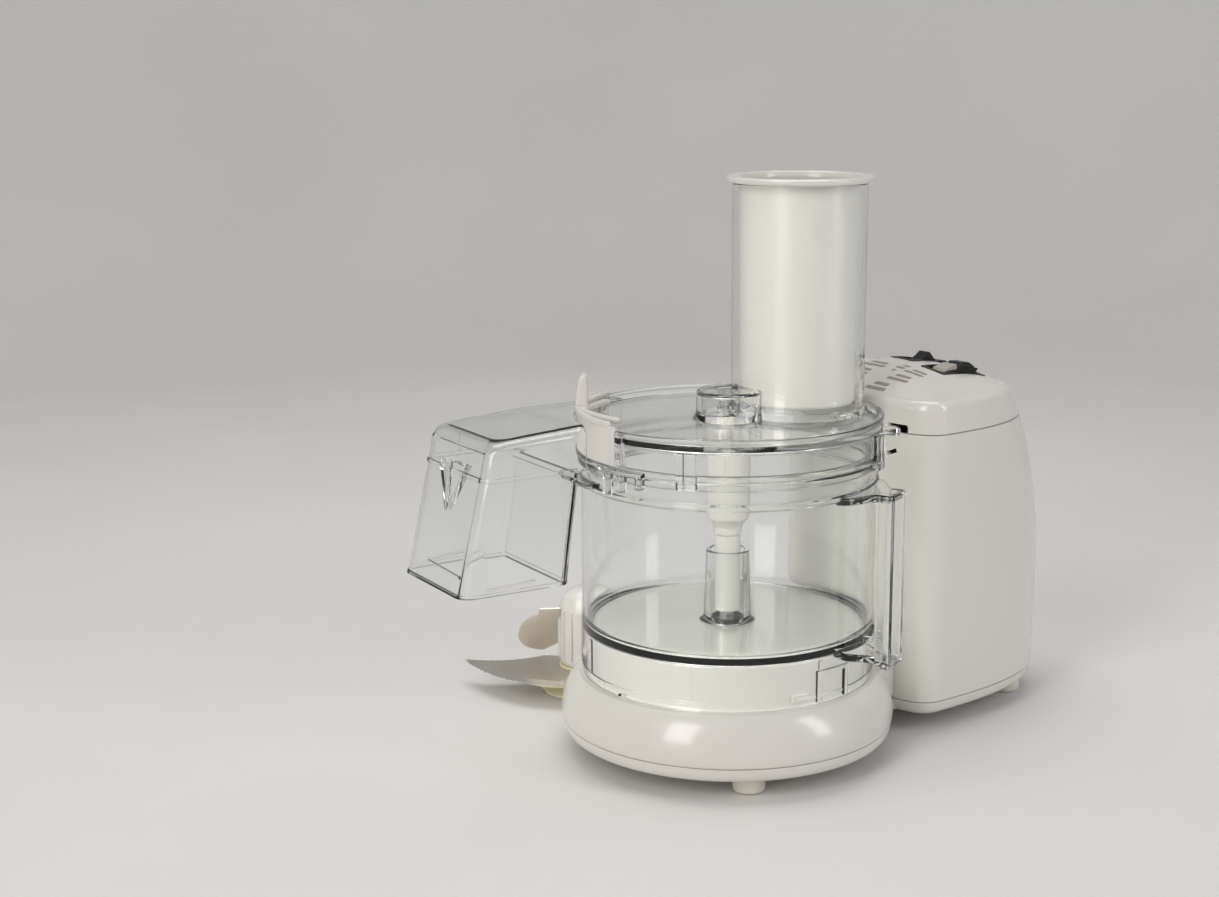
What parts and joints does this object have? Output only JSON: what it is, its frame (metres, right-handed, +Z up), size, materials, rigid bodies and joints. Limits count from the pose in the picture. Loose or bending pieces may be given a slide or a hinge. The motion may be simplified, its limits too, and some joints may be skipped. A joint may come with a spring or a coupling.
{
  "type": "food processor",
  "caption": "Food processor with a round drive base, motor tower, clear bowl and lid with feed tube, pusher and side chute, and a loose S-blade.",
  "frame": {"origin": "middle of the underside of the model's box, on the table that the feet stand on", "axes": "+X from the bowl towards the motor tower, +Y towards the back, +Z up"},
  "size_m": [0.4008, 0.2862, 0.332],
  "materials": {
    "white_plastic": "moulded white plastic, satin gloss",
    "cream_plastic": "moulded ivory plastic",
    "clear_plastic": "clear moulded plastic",
    "black_plastic": "black moulded plastic",
    "grey_plastic": "grey moulded plastic",
    "foot_rubber": "pale rubber",
    "black_rubber": "black rubber",
    "steel": "ground steel",
    "lamination": "varnished steel laminations",
    "copper": "copper",
    "bronze": "sintered bronze"
  },
  "bodies": {
    "base": {"base_housing": "white_plastic", "tower_cap": "white_plastic", "bottom_plate": "white_plastic", "foot_1": "foot_rubber", "foot_2": "foot_rubber", "foot_3": "foot_rubber", "foot_4": "foot_rubber", "cover_screw_1": "steel", "cover_screw_2": "steel", "drive_belt": "black_rubber", "shaft_bushing_upper": "bronze", "shaft_bushing_lower": "bronze", "shaft_seal": "black_rubber", "stator_core": "lamination", "field_coil_front": "copper", "field_coil_back": "copper", "motor_frame_upper": "steel", "motor_frame_lower": "steel", "motor_bearing_upper": "bronze", "motor_bearing_lower": "bronze", "brush_left": "grey_plastic", "brush_right": "grey_plastic", "speed_bezel": "black_plastic", "pulse_bezel": "black_plastic", "speed_switch": "grey_plastic", "pulse_switch": "grey_plastic", "interlock_spring": "steel", "interlock_switch": "black_plastic", "cord_inlet": "black_rubber"},
    "drive": {"drive_shaft": "steel", "disc_stem": "white_plastic", "driven_pulley": "grey_plastic"},
    "rotor": {"motor_shaft": "steel", "armature_core": "lamination", "commutator": "copper", "cooling_fan": "grey_plastic", "motor_pulley": "grey_plastic"},
    "bowl": {"bowl": "clear_plastic"},
    "lid": {"lid": "clear_plastic"},
    "pusher": {"pusher": "white_plastic"},
    "gate": {"chute_gate": "white_plastic"},
    "chute": {"chute": "clear_plastic"},
    "speed_rocker": {"speed_rocker": "black_plastic"},
    "pulse_rocker": {"pulse_rocker": "grey_plastic"},
    "plunger": {"interlock_plunger": "cream_plastic"},
    "chopper": {"blade_hub": "white_plastic", "blade_skirt": "cream_plastic", "blade_lower": "steel", "blade_upper": "steel"}
  },
  "joints": [
    {"name": "bowl_turn", "type": "hinge", "parent": "base", "child": "bowl", "pos_m": [-0.0353, -0.043, 0.047], "axis": [0, 0, 1], "range_deg": [-25, 0]},
    {"name": "lid_lift", "type": "slide", "parent": "bowl", "child": "lid", "axis": [0, 0, 1], "range_m": [0, 0.12]},
    {"name": "pusher_slide", "type": "slide", "parent": "lid", "child": "pusher", "axis": [0, 0, 1], "range_m": [0, 0.135]},
    {"name": "gate_slide", "type": "slide", "parent": "lid", "child": "gate", "axis": [0, 0, 1], "range_m": [0, 0.03]},
    {"name": "chute_slide", "type": "slide", "parent": "lid", "child": "chute", "axis": [-0.9962, 0.0872, 0], "range_m": [0, 0.08]},
    {"name": "drive_spin", "type": "hinge", "parent": "base", "child": "drive", "pos_m": [-0.0353, -0.043, 0.06], "axis": [0, 0, 1], "continuous": true},
    {"name": "rotor_spin", "type": "hinge", "parent": "base", "child": "rotor", "pos_m": [0.1147, -0.043, 0.06], "axis": [0, 0, 1], "continuous": true},
    {"name": "speed_tilt", "type": "hinge", "parent": "base", "child": "speed_rocker", "pos_m": [0.1327, -0.03, 0.206], "axis": [0, 1, 0], "range_deg": [-10, 10]},
    {"name": "pulse_tilt", "type": "hinge", "parent": "base", "child": "pulse_rocker", "pos_m": [0.1327, -0.0612, 0.206], "axis": [0, 1, 0], "range_deg": [0, 8], "stiffness_Nm_per_rad": 0.03, "springref_deg": -2.86},
    {"name": "plunger_slide", "type": "slide", "parent": "base", "child": "plunger", "axis": [1, 0, 0], "range_m": [0, 0.003], "stiffness_N_per_m": 300, "springref_m": -0.002},
    {"name": "blade_lift", "type": "slide", "parent": "base", "child": "chopper", "axis": [0, 0, 1], "range_m": [0, 0.15]}
  ],
  "couplings": [
    {"joint": "rotor_spin", "follows": "drive_spin", "ratio": 4.939}
  ]
}
